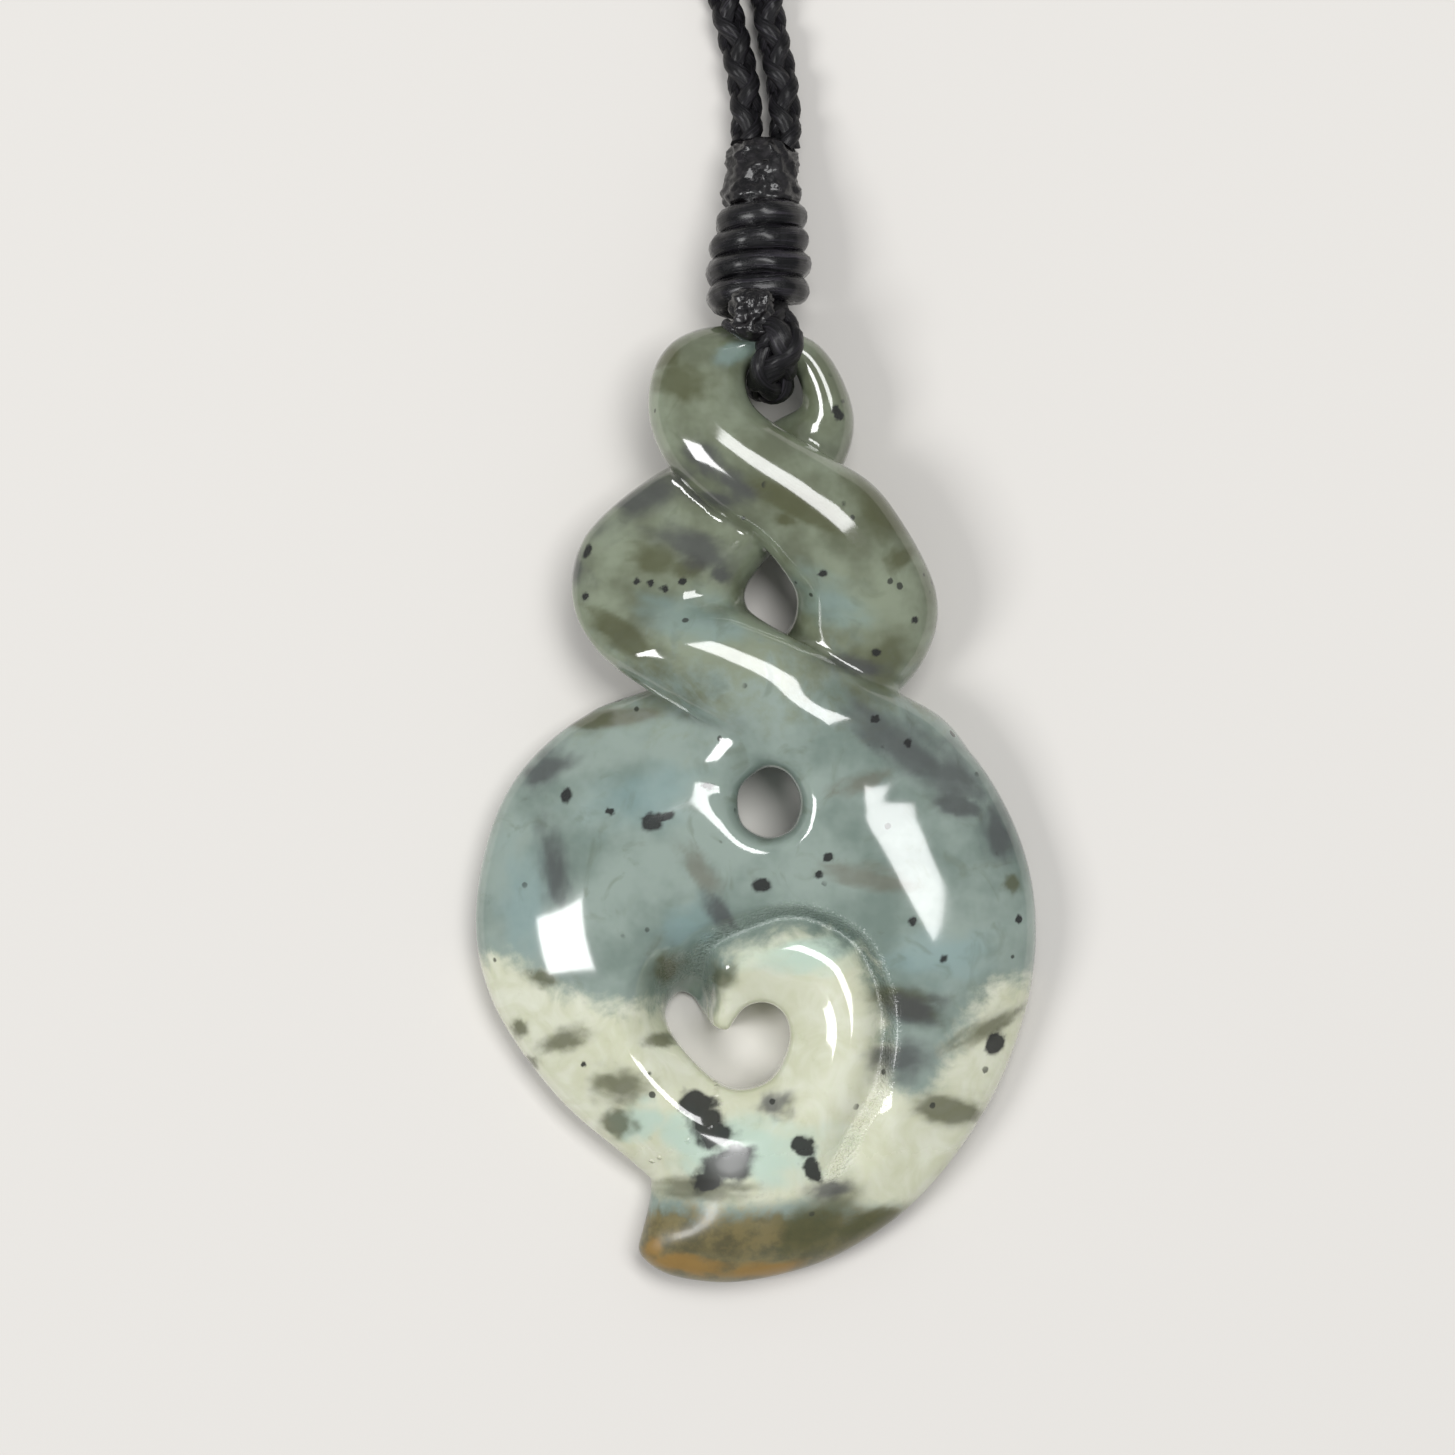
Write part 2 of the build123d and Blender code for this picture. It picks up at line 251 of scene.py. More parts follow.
def plait_tree(material):
    """Strands that wind round a path both ways, each over one and under the next."""
    growth = Growth("round_plait", **PLAIT, Square_to=(0, 0, 1), Thin=1.0)
    given = growth.given
    line, along = growth.even_line(given["Step"])
    tangent = growth.node("GeometryNodeInputTangent", {})
    side = growth.vector("NORMALIZE", growth.vector("CROSS_PRODUCT", given["Square_to"], tangent))
    up = growth.vector("CROSS_PRODUCT", tangent, side)
    side = growth.scaled(side, given["Thin"])
    turn = along / given["Pitch"] * (2 * math.pi)
    swing = growth.maths("SINE", turn * 2.0) * given["Weave"]
    join = growth.tree.nodes.new("GeometryNodeJoinGeometry")
    for number in range(PLAIT_STRANDS):
        way = 1.0 if number % 2 else -1.0
        angle = turn * way + number * 2 * math.pi / PLAIT_STRANDS
        across = growth.scaled(side, growth.maths("COSINE", angle))
        out = growth.vector("ADD", across, growth.scaled(up, growth.maths("SINE", angle)))
        strand = growth.store(line, "out", out, "FLOAT_VECTOR")
        inputs = {"Geometry": strand, "Offset": growth.scaled(out, given["Reach"] + swing * way)}
        strand = growth.node("GeometryNodeSetPosition", inputs)
        inputs = {"Curve": strand, "Normal": growth.stored("out")}
        strand = growth.node("GeometryNodeSetCurveNormal", inputs, mode="FREE")
        growth.tree.links.new(strand.socket, join.inputs[0])
    body = growth.body(Value(growth, join.outputs[0]), STRAND_SIDES, given["Deep"], given["Wide"])
    return growth.finish(body, material)


def linked(name, data):
    """An object in the scene that holds this data."""
    holder = bpy.data.objects.new(name, data)
    bpy.context.scene.collection.objects.link(holder)
    return holder


def as_mesh(holder):
    """The evaluated shape of an object as a plain mesh."""
    bpy.context.view_layer.update()
    graph = bpy.context.evaluated_depsgraph_get()
    return bpy.data.meshes.new_from_object(holder.evaluated_get(graph), depsgraph=graph)


def smooth_path(name, route):
    """Points joined by edges along a NURBS line that the route's points guide."""
    line = bpy.data.curves.new(name, "CURVE")
    line.dimensions = "3D"
    line.resolution_u = 24
    spline = line.splines.new("NURBS")
    spline.points.add(len(route) - 1)
    for point, place in zip(spline.points, route):
        point.co = (*place, 1)
    spline.order_u = 3
    spline.use_endpoint_u = True
    holder = linked(name, line)
    mesh = as_mesh(holder)
    bpy.data.objects.remove(holder)
    return mesh


def grown(tree, name, path, **sizes):
    """A piece that a tree makes from a path, as a plain mesh object."""
    piece = linked(name, path)
    modifier = piece.modifiers.new(tree.name, "NODES")
    modifier.node_group = tree
    for item in tree.interface.items_tree:
        if item.in_out == "INPUT" and item.name in sizes:
            modifier[item.identifier] = sizes[item.name]
    mesh = as_mesh(piece)
    piece.modifiers.remove(modifier)
    piece.data = mesh
    mesh.name = name
    return piece


round_plait = plait_tree(waxed_thread("waxed_cord", 0.3))
for half, route in (("left", LEFT_ROUTE), ("right", RIGHT_ROUTE)):
    plait = grown(round_plait, f"plait_{half}", smooth_path(f"{half}_path", np.array(route) / 1000))
    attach(plait, "root")
    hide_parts(f"neck_cord_{half}")


# The cord's fold: the same plait, slacker and broader, goes down through the ring, round its top
# and up again behind, and both its legs go into the foot of the binding.
RING_TOP_MIDDLE = Vector((-0.00001, 0.03369, 0.00377))
BINDING_LEAN, BINDING_DROOP = math.radians(3), math.radians(10)
AXIS = Vector((
    math.sin(BINDING_LEAN) * math.cos(BINDING_DROOP),
    math.cos(BINDING_LEAN) * math.cos(BINDING_DROOP),
    -math.sin(BINDING_DROOP),
))
TO_RIGHT = Vector((math.cos(BINDING_LEAN), -math.sin(BINDING_LEAN), 0))
TO_BACK = AXIS.cross(TO_RIGHT)
FOLD_MIDDLE, FOLD_REACH, FOLD_FOOT, FOLD_LEAN, FOLD_FLATNESS = 0.00088, 0.00230, 0.0015, 0.22, 0.62
FRONT_END_RIGHT, FRONT_END_OUT, BACK_END_OUT = 0.0003, 0.35, 0.9
FOLD_PLAIT = dict(Pitch=0.0052, Reach=0.00076, Weave=0.00012, Wide=0.00068, Deep=0.00048, Step=0.00022)


def by_the_ring(along, right, back):
    """A place by its distances up the binding's axis, to the right and to the back."""
    return RING_TOP_MIDDLE + AXIS * along + TO_RIGHT * right + TO_BACK * back


# the front leg leans to the right, and its end is tucked in under the binding's lowest roll
fold_route = [by_the_ring(FOLD_FOOT, FRONT_END_RIGHT, -FOLD_REACH * FRONT_END_OUT)]
for degrees in range(-90, 91, 15):
    turn = math.radians(degrees)
    down = FOLD_REACH * math.cos(turn)
    lean = FOLD_LEAN * (FOLD_REACH - down) if degrees < 0 else 0
    fold_route.append(by_the_ring(-down, FOLD_MIDDLE + lean, FOLD_REACH * math.sin(turn)))
fold_route.append(by_the_ring(FOLD_FOOT, FOLD_MIDDLE, FOLD_REACH * BACK_END_OUT))
fold_path = smooth_path("fold_path", fold_route)
fold = grown(round_plait, "plait_fold", fold_path, **FOLD_PLAIT, Square_to=TO_RIGHT, Thin=FOLD_FLATNESS)
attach(fold, "root")
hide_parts("cord_bight")


# The binding: waxed cord wound four times round both legs, drawn tight and bulging a little
# more at the foot, where its melted end sits in front as a glossy knot with a short tail.
ROLL_LENGTH, ROLL_RADIUS, ROLL_SIDES, BINDING_FOOT = 0.0015, 0.00079, 18, 0.00116
# half widths from the foot up, and the turn at which the thread has each of them
BINDING_HALF_WIDTHS = (0.00272, 0.0028, 0.00267, 0.00243)
WIDEST_AT = (0.4, 1.4, 2.4, 3.4)
BINDING_HALF_THICK = 0.00242
# roll lengths to the thread's start and in a turn, how far in its ends go, and over how much of a turn
THREAD_START, THREAD_CLIMB, END_TUCK, TUCK_TURNS = 0.534, 0.86, 0.55, 0.2
STEPS_A_TURN = 40
BODY_RINGS, BODY_SIDES = 46, 72
# the melted thread's black, and the grey of a sheen painted on its crinkles
MELTED_BLACK, PAINTED_MELT_SHEEN = colour(8, 7, 8), colour(30, 27, 29)


def wound_tree(material):
    """A cord's body along a path, with the small lumps of waxed thread drawn tight."""
    sizes = {"Radius": ROLL_RADIUS, "Squash": 0.94, "Lumps": 0.0003, "Lump_size": 0.0010, "Step": 0.00022}
    growth = Growth("wound_cord", **sizes)
    given = growth.given
    line, _ = growth.even_line(given["Step"])
    body = growth.body(line, ROLL_SIDES, given["Radius"], given["Radius"] * given["Squash"])
    lumps = growth.node("ShaderNodeTexNoise", {"Scale": 1.0 / given["Lump_size"], "Detail": 2.0})
    outwards = growth.node("GeometryNodeInputNormal", {})
    offset = growth.scaled(outwards, (lumps - 0.5) * given["Lumps"])
    body = growth.node("GeometryNodeSetPosition", {"Geometry": body, "Offset": offset})
    return growth.finish(body, material)


def path_mesh(name, places):
    """Points joined by edges."""
    mesh = bpy.data.meshes.new(name)
    mesh.from_pydata([tuple(p) for p in places], [(i, i + 1) for i in range(len(places) - 1)], [])
    return mesh


def skin_of_rings(name, rings, foot, top):
    """A closed mesh through rings of points, shut by a point at each end."""
    count = len(rings[0])
    points = [p for ring in rings for p in ring] + [foot, top]
    faces = []
    for i in range(count):
        after = (i + 1) % count
        faces.append((len(points) - 2, after, i))
        faces.append((len(points) - 1, (len(rings) - 1) * count + i, (len(rings) - 1) * count + after))
        for ring in range(len(rings) - 1):
            low, high = ring * count, (ring + 1) * count
            faces.append((low + i, low + after, high + after, high + i))
    mesh = bpy.data.meshes.new(name)
    mesh.from_pydata([tuple(p) for p in points], [], faces)
    mesh.polygons.foreach_set("use_smooth", [True] * len(faces))
    return mesh


def crinkle(place, size, seed):
    """Sharp-edged wrinkles, about -1 to 1, such as melted thread has."""
    spot = Vector(place) / size + Vector((seed, 0, 0))
    folds = 1 - 2 * abs(noise.noise(spot))
    return folds - 0.6 + 0.5 * noise.noise(spot * 2.7) + 0.3 * noise.noise(spot * 6.1)


def melted(name):
    """Thread sealed by heat: nearly black, glossy and crinkled, with a grey sheen painted on its crinkles."""
    finish = Finish(name, Specular_IOR_Level=0.25, Coat_Weight=0.6, Coat_Roughness=0.12)
    crust = finish.grain(finish.place, 0.00035, detail=4.0, rough=0.6)
    patches = finish.grain(finish.place, 0.0011, detail=2.0)
    # painted sheen: grey on the raised crinkles of the crust
    finish.paint(Base_Color=finish.mix(crust.smooth(0.4, 0.7), MELTED_BLACK, PAINTED_MELT_SHEEN))
    finish.paint(Roughness=0.5 - patches.smooth(0.4, 0.6) * 0.28)
    finish.relief(crust, 0.00009)
    return finish.material


def crinkled_body(name, place, half_widths, half_thicks, length, depth, size, seed):
    """A melted piece: an upright oval body with rounded ends and crinkles of that depth and size.

    Half widths and half thicks are those of its foot and top, and place maps its own coordinates.
    """
    found = []
    for ring in range(BODY_RINGS):
        height = 0.5 - 0.5 * math.cos(math.pi * (ring + 0.5) / BODY_RINGS)
        end = min(height, 1 - height) * 2
        fill = min(1, (1 - (1 - min(end * 2.2, 1)) ** 2.4)) ** 0.5
        row = []
        wide = half_widths[0] + (half_widths[1] - half_widths[0]) * height
        thick = half_thicks[0] + (half_thicks[1] - half_thicks[0]) * height
        for step in range(BODY_SIDES):
            angle = 2 * math.pi * step / BODY_SIDES
            spot = Vector((wide * math.cos(angle), thick * math.sin(angle), 0)) * fill
            dent = crinkle((spot.x, spot.y, height * length), size, seed)
            spot *= 1 + depth * dent / (0.5 * (wide + thick))
            row.append(place(height * length, spot.x, spot.y))
        found.append(row)
    mesh = skin_of_rings(name, found, place(0, 0, 0), place(length, 0, 0))
    mesh.materials.append(melted_black)
    return linked(name, mesh)


wound_cord = wound_tree(waxed_thread("waxed_winding", 0.9))
winding = []
turns = len(BINDING_HALF_WIDTHS)
thick = BINDING_HALF_THICK - ROLL_RADIUS
for number in range(turns * STEPS_A_TURN + 1):
    turn = number / STEPS_A_TURN
    width = float(np.interp(turn, WIDEST_AT, BINDING_HALF_WIDTHS)) - ROLL_RADIUS
    tuck = END_TUCK + (1 - END_TUCK) * min(1, turn / TUCK_TURNS, (turns - turn) / TUCK_TURNS)
    angle = math.pi / 2 + 2 * math.pi * turn
    height = BINDING_FOOT + ROLL_LENGTH * (THREAD_START + THREAD_CLIMB * turn)
    winding.append(by_the_ring(height, width * tuck * math.cos(angle), thick * tuck * math.sin(angle)))
binding = grown(wound_cord, "wound_binding", path_mesh("winding_path", winding))
melted_black = melted("melted_cord")
knot = crinkled_body(
    "end_knot", lambda up, right, back: by_the_ring(up - 0.0005, right - 0.00025, back - 0.0023),
    half_widths=(0.0010, 0.00118), half_thicks=(0.0009, 0.0010), length=0.0028,
    depth=0.0003, size=0.0009, seed=3.0,
)
tail_route = [by_the_ring(*p) for p in (
    (0.0002, -0.0004, -0.0024), (-0.0001, -0.0009, -0.0027),
    (0.0001, -0.0013, -0.0026), (0.0004, -0.0016, -0.0022),
)]
tail = grown(wound_cord, "end_tail", smooth_path("tail_path", tail_route), Radius=0.00028, Lumps=0.00006)
for piece in (binding, knot, tail):
    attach(piece, "root")
    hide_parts("cord_binding")


# The collar: the ends of the binding melted over both legs and pressed while soft, so the thread
# has run into one crinkled, glossy sleeve that narrows towards the neck cord.
COLLAR_FOOT, COLLAR_LENGTH = 0.0067, 0.0043
collar = crinkled_body(
    "melted_collar", lambda up, right, back: by_the_ring(COLLAR_FOOT + up, right - 0.0001, back),
    half_widths=(0.00215, 0.00172), half_thicks=(0.0020, 0.0014), length=COLLAR_LENGTH,
    depth=0.00026, size=0.0009, seed=11.0,
)
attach(collar, "root")
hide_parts("cord_collar")


# The knot behind the neck: one half of the cord wound in tight turns round the other and drawn
# up, so its turns lie side by side on a core of the two ends.
BACK_KNOT_MIDDLE, BACK_KNOT_LENGTH, BACK_KNOT_RADIUS = Vector((0.0035, 0.2370, 0.0026)), 0.012, 0.0026
BACK_KNOT_TURNS, BACK_KNOT_TUCK, BACK_TUCK_SHARE = 7, 0.6, 0.03
CORE_LENGTH, CORE_RADIUS = 0.0116, 0.00185
inside = BACK_KNOT_RADIUS - ROLL_RADIUS
back_winding = []
for number in range(BACK_KNOT_TURNS * STEPS_A_TURN + 1):
    share = number / (BACK_KNOT_TURNS * STEPS_A_TURN)
    end = min(share, 1 - share) / BACK_TUCK_SHARE
    tuck = BACK_KNOT_TUCK + (1 - BACK_KNOT_TUCK) * min(1, end)
    angle = 2 * math.pi * share * BACK_KNOT_TURNS
    along = (share - 0.5) * (BACK_KNOT_LENGTH - 2.1 * ROLL_RADIUS)
    out = Vector((0, math.cos(angle), math.sin(angle))) * inside * tuck
    back_winding.append(BACK_KNOT_MIDDLE + Vector((along, 0, 0)) + out)
back_knot = grown(wound_cord, "wound_back_knot", path_mesh("back_path", back_winding), Squash=1.08)
core = crinkled_body(
    "back_knot_middle",
    lambda up, right, back: BACK_KNOT_MIDDLE + Vector((up - CORE_LENGTH / 2, right, -back)),
    half_widths=(CORE_RADIUS,) * 2, half_thicks=(CORE_RADIUS,) * 2, length=CORE_LENGTH,
    depth=0.00004, size=0.0008, seed=5.0,
)
for piece in (back_knot, core):
    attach(piece, "root")
    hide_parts("back_knot")


# The pendant: one piece of jade, sawn flat behind, carved in front and polished, with one broad
# loop that twists twice and widens into a disc, where a curl ends in a heart-shaped opening.
# Its form is worked out in millimetres, as the depth below the skin at each point of a lattice.
WIDTH, LENGTH, CROSSING_THICK, STRAND_THICK = 29.6, 50.5, 7.4, 4.3
LATTICE_LOW, LATTICE_HIGH = (-16.2, -17.2, -0.8), (16.2, 36.2, 8.4)
GRAIN = 0.19
STRAND_TIP, SANDING = 1.0, 0.3
RIM_HEIGHT, DOME_RISE, DOME_REACH, DOME_ROUNDNESS = 2.4, 3.2, 9.0, 2.2
# These outlines are in thousandths of the width and length. A row of the loop has the x and y of its
# left edge and right edge, then the height of its middle in thousandths of CROSSING_THICK and its
# own thickness in thousandths of STRAND_THICK.
LOOP_BACK = [
    (150, 78, 300, 110, 100, 600), (85, 161, 358, 248, 340, 960), (73, 197, 256, 302, 500, 1000),
    (-19, 247, 158, 332, 625, 1000), (-169, 299, 79, 355, 690, 1020), (-275, 343, 11, 377, 650, 1060),
    (-326, 399, -13, 391, 480, 1080), (-302, 467, -19, 407, 430, 1350), (-178, 530, 11, 435, 400, 1550),
    (-59, 557, 79, 474, 360, 1450), (40, 588, 146, 526, 340, 950), (83, 602, 174, 588, 440, 820),
    (62, 642, 118, 660, 520, 580), (3, 646, 3, 688, 510, 580),
]
LOOP_FRONT = [
    (3, 646, 3, 688, 510, 580), (-12, 640, -148, 665, 540, 780), (-15, 615, -192, 607, 600, 930),
    (4, 595, -162, 543, 660, 1000), (52, 575, -77, 492, 700, 1000), (132, 547, 3, 459, 700, 1000),
    (229, 506, 54, 423, 640, 1050), (321, 407, 72, 399, 520, 1100), (295, 332, 61, 370, 420, 1050),
    (176, 266, 26, 358, 320, 1000), (43, 228, -77, 342, 300, 1000), (-36, 192, -187, 308, 300, 950),
    (-89, 140, -293, 285, 300, 900),
]
DISC = [
    (-204, 302), (-346, 263), (-452, 189), (-498, 78), (-470, -16), (-372, -109), (-302, -171),
    (-254, -238), (-187, -293), (-98, -310), (8, -308), (149, -282), (291, -223), (415, -126), (486, -16),
    (496, 88), (450, 179), (353, 257), (220, 283), (61, 280), (-80, 295),
]
NOTCH = [
    [(-417, -80), (-319, -138), (-240, -176), (-185, -204)],
    [(-185, -204), (-190, -233), (-216, -290)], [(-300, -400), (-600, -200)],
]
EYE = [
    (-24, 207), (17, 225), (56, 219), (79, 192), (65, 163), (22, 153), (-20, 165), (-31, 187),
]
HEART = [
    (-49, -48), (-19, -24), (22, -19), (54, -34), (59, -62), (29, -97), (-27, -109), (-77, -98),
    (-137, -62), (-160, -31), (-134, -10), (-103, -24), (-75, -44), (-49, -48),
]
# lines carved into the disc's front, in millimetres
CURL_GROOVE = [
    (-2.54, -0.94), (-2.7, 0.79), (-2.12, 2.09), (-0.55, 2.88), (1.54, 3.56), (3.38, 3.3),
    (5.21, 2.2), (6.15, 0.52), (6.62, -1.31), (6.62, -3.4), (6.15, -5.5), (5.05, -7.33),
    (4.32, -8.9), (3.38, -10.37),
]
# shares of the groove's length, and there its depth and the reach of its inner and outer banks
GROOVE_DEPTH = (0, 0.12, 0.5, 0.75, 0.9, 1), (1.5, 1.5, 1.35, 1.1, 0.75, 0.25)
INNER_BANK = (0, 0.15, 1), (1.2, 2.0, 1.9)
OUTER_BANK = (0, 0.15, 0.3, 0.72, 0.88, 1), (1.9, 1.3, 0.75, 0.75, 2.6, 1.6)
EYE_VALLEY, EYE_VALLEY_DEPTH = [(-6.31, 15.18), (-3.43, 13.09), (-0.55, 10.47), (0.65, 9.37)], 1.3
TAIL_VALLEY, TAIL_VALLEY_DEPTH = [(-5.47, -10.31), (-2.91, -11.52), (0.24, -12.04)], 0.5
HEART_BEVEL, HEART_BEVEL_MORE, HEART_BEVEL_REACH, HEART_LOBE_DEPTH = 1.5, 0.9, 2.6, 2.3
# the disc's right shoulder, and the broad ridge there: its middle, the way it faces in degrees,
# its height, fall and half length along the crest, and its radius outwards, inwards and at its ends
SHOULDER, SHOULDER_RISE, SHOULDER_REACH = (10.4, 12.0), 1.5, 4
DOME_SHOULDER = {17: (400, 240), 18: (270, 330), 19: (60, 360), 20: (-80, 325)}
RIDGE, RIDGE_FACES, RIDGE_HEIGHT, RIDGE_FALL, RIDGE_HALF_LENGTH = (5.5, 7.6), 33, 5.95, 0.09, 6.5
RIDGE_OUTER_RADIUS, RIDGE_INNER_RADIUS, RIDGE_END_RADIUS = 9.0, 7.0, 6.0
# the flat on the back strand's left shoulder: its middle, height, the way down it and its slope
FLAT_MIDDLE, FLAT_HEIGHT, FLAT_FACES, FLAT_FALL = (-5.5, 22.3), 4.9, 130, 0.11


def smooth_rows(rows, step):
    """Rows of numbers joined by a smooth curve, with rows about a step apart."""
    rows = np.array(rows, float)
    ends = [2 * rows[0] - rows[1]], [2 * rows[-1] - rows[-2]]
    if np.allclose(rows[0], rows[-1]):
        ends = [rows[0]], [rows[-1]]
    rows = np.vstack([ends[0], rows, ends[1]])
    found = []
    for a, b, c, d in zip(rows, rows[1:], rows[2:], rows[3:]):
        gap = max(np.linalg.norm((c - b)[:2]), np.linalg.norm((c - b)[2:4]))
        t = np.arange(max(2, math.ceil(gap / step)))[:, None]
        t = t / len(t)
        curve = 2 * b + (c - a) * t + (2 * a - 5 * b + 4 * c - d) * t**2 + (3 * b - a - 3 * c + d) * t**3
        found.append(curve / 2)
    return np.vstack([*found, rows[-2:-1]])


def closed(points):
    """A smooth closed outline through the points."""
    rows = np.vstack([points[-1:], points, points[:2]])
    whole = smooth_rows(rows, 0.35)
    first = np.argmin(np.linalg.norm(whole - rows[1], axis=1))
    last = len(whole) - 1 - np.argmin(np.linalg.norm(whole[::-1] - rows[1], axis=1)[: len(whole) // 3])
    return whole[first:last]


def in_millimetres(outline):
    return np.array(outline) / 1000 * (WIDTH, LENGTH)


def from_line(points, shut):
    """In plan: the distance from a line, the share of it passed by then, and its left side as +1."""
    near = np.full(plan_x.shape, np.inf)
    passed = np.zeros(plan_x.shape)
    side = np.ones(plan_x.shape)
    inside = np.zeros(plan_x.shape, bool)
    count = len(points) if shut else len(points) - 1
    for number in range(count):
        (x, y), (next_x, next_y) = points[number], points[(number + 1) % len(points)]
        run_x, run_y = next_x - x, next_y - y
        share = np.clip(((plan_x - x) * run_x + (plan_y - y) * run_y) / (run_x**2 + run_y**2 + 1e-12), 0, 1)
        away = np.hypot(plan_x - x - share * run_x, plan_y - y - share * run_y)
        nearer = away < near
        near[nearer] = away[nearer]
        passed[nearer] = (number + share[nearer]) / count
        turn = run_x * (plan_y - y) - run_y * (plan_x - x)
        side[nearer] = np.sign(turn[nearer])
        crossed = (plan_y < y) != (plan_y < next_y)
        inside ^= crossed & (plan_x < x + run_x * (plan_y - y) / (run_y or 1e-9))
    return (np.where(inside, -near, near) if shut else near), passed, side


def beyond_place(place, faces):
    """In plan: how far beyond a place, the way it faces in degrees, and how far to the right of that."""
    facing = math.radians(faces)
    off_x, off_y = plan_x - place[0], plan_y - place[1]
    beyond = off_x * math.cos(facing) + off_y * math.sin(facing)
    return beyond, off_x * math.sin(facing) - off_y * math.cos(facing)


def step_up(value, low, high):
    """0 below low, 1 above high, and a soft step between."""
    share = np.clip((value - low) / (high - low), 0, 1)
    return share * share * (3 - 2 * share)


def joined(first, second, fillet):
    """Two forms as one, with a fillet of about that size where they meet."""
    near = np.maximum(fillet - np.abs(first - second), 0)
    return np.minimum(first, second) - near**2 / (4 * fillet)


def cut_to(first, second, easing):
    """What two forms share, its edge eased."""
    return -joined(-first, -second, easing)


def loop_part(rows):
    """The skin round a run of upright ovals that lie across the loop."""
    rows = np.array(rows) / 1000 * (WIDTH, LENGTH, WIDTH, LENGTH, CROSSING_THICK, STRAND_THICK)
    rows = smooth_rows(rows, 0.4)
    best = np.full(lattice_shape, 1e3)
    slope = np.ones(lattice_shape)
    reach = 2.6
    for number in range(1, len(rows) - 1):
        middle = (rows[number, :2] + rows[number, 2:4]) / 2
        half = np.linalg.norm(rows[number, 2:4] - rows[number, :2]) / 2
        low = [middle[0] - half - reach, middle[1] - half - reach]
        high = [middle[0] + half + reach, middle[1] + half + reach]
        cut = tuple(
            slice(max(0, int((low[i] - LATTICE_LOW[i]) / GRAIN)), int((high[i] - LATTICE_LOW[i]) / GRAIN) + 2)
            for i in range(2)
        )
        x, y, z = plan_x[cut][..., None], plan_y[cut][..., None], heights[None, None, :]
        ranks = []
        for left_x, left_y, right_x, right_y, height, thick in rows[number - 1:number + 2]:
            run = np.array((right_x - left_x, right_y - left_y))
            broad = np.linalg.norm(run) / 2
            run = run / (2 * broad)
            from_x, from_y = x - (left_x + right_x) / 2, y - (left_y + right_y) / 2
            across = (from_x * run[0] + from_y * run[1]) / broad
            onward = (from_y * run[0] - from_x * run[1]) / STRAND_TIP
            upward = (z - height) / (thick / 2)
            ranks.append(across**2 + onward**2 + upward**2)
            if len(ranks) == 2:
                steep = (across / broad) ** 2 + (onward / STRAND_TIP) ** 2 + (upward / (thick / 2)) ** 2
        bend = ranks[0] + ranks[2] - 2 * ranks[1]
        lean = (ranks[2] - ranks[0]) / 2
        shift = np.clip(-lean / np.maximum(bend, 1e-6), -0.75, 0.75)
        rank = np.sqrt(np.maximum(ranks[1] + lean * shift + bend * shift**2 / 2, 1e-6))
        better = rank < best[cut]
        best[cut] = np.where(better, rank, best[cut])
        slope[cut] = np.where(better, np.sqrt(steep), slope[cut])
    return spread(best * (best - 1) / np.maximum(slope, 0.05), SANDING)


def spread(values, size):
    """Values on the lattice, or on its plan, softened over that many millimetres."""
    reach = int(3 * size / GRAIN) + 1
    weights = np.exp(-0.5 * (np.arange(-reach, reach + 1) * GRAIN / size) ** 2)
    weights /= weights.sum()
    for axis in range(values.ndim):
        wide = np.pad(values, [(reach, reach) if a == axis else (0, 0) for a in range(values.ndim)], "edge")
        values = sum(w * np.take(wide, range(i, i + values.shape[axis]), axis) for i, w in enumerate(weights))
    return values


lattice = [np.arange(low, high, GRAIN) for low, high in zip(LATTICE_LOW, LATTICE_HIGH)]
lattice_shape = tuple(len(line) for line in lattice)
plan_x, plan_y = np.meshgrid(lattice[0], lattice[1], indexing="ij")
heights = lattice[2]

# the outlines and carved lines, as distances in plan
upper_notch, lower_notch, outside = [in_millimetres(run) for run in NOTCH]
notch = np.vstack([smooth_rows(upper_notch, 0.35), smooth_rows(lower_notch, 0.35)[1:], outside])
out_of_notch = -from_line(notch, True)[0]
rim = cut_to(from_line(closed(in_millimetres(DISC)), True)[0], out_of_notch, 0.35)
shoulder = in_millimetres([DOME_SHOULDER.get(i, p) for i, p in enumerate(DISC)])
dome_rim = cut_to(from_line(closed(shoulder), True)[0], out_of_notch, 0.35)
heart = from_line(smooth_rows(in_millimetres(HEART), 0.2)[:-1], True)[0]
eye = from_line(closed(in_millimetres(EYE)), True)[0]
from_groove, groove_passed, groove_side = from_line(smooth_rows(CURL_GROOVE, 0.3), False)
curl_side = -groove_side * from_groove
valley_away, valley_passed, _ = from_line(smooth_rows(EYE_VALLEY, 0.3), False)
tail_away, tail_passed, _ = from_line(smooth_rows(TAIL_VALLEY, 0.3), False)

# the height of the disc's front: a dome from the rim, higher at the right shoulder, with the ridge
from_shoulder = np.hypot(plan_x - SHOULDER[0], plan_y - SHOULDER[1]) / SHOULDER_REACH
rim_height = RIM_HEIGHT + SHOULDER_RISE * np.exp(-from_shoulder**2)
doming = 1 - (1 - np.clip(-dome_rim / DOME_REACH, 0, 1)) ** DOME_ROUNDNESS
dome = rim_height + (RIM_HEIGHT + DOME_RISE - rim_height) * doming
beyond, onward = beyond_place(RIDGE, RIDGE_FACES)
ridge = RIDGE_HEIGHT - RIDGE_FALL * onward
ridge -= beyond**2 / (2 * np.where(beyond > 0, RIDGE_OUTER_RADIUS, RIDGE_INNER_RADIUS))
ridge -= np.maximum(np.abs(onward - 0.5) - RIDGE_HALF_LENGTH, 0) ** 2 / (2 * RIDGE_END_RADIUS)
dome = spread(-joined(-dome, -ridge, 1.2), 0.6)

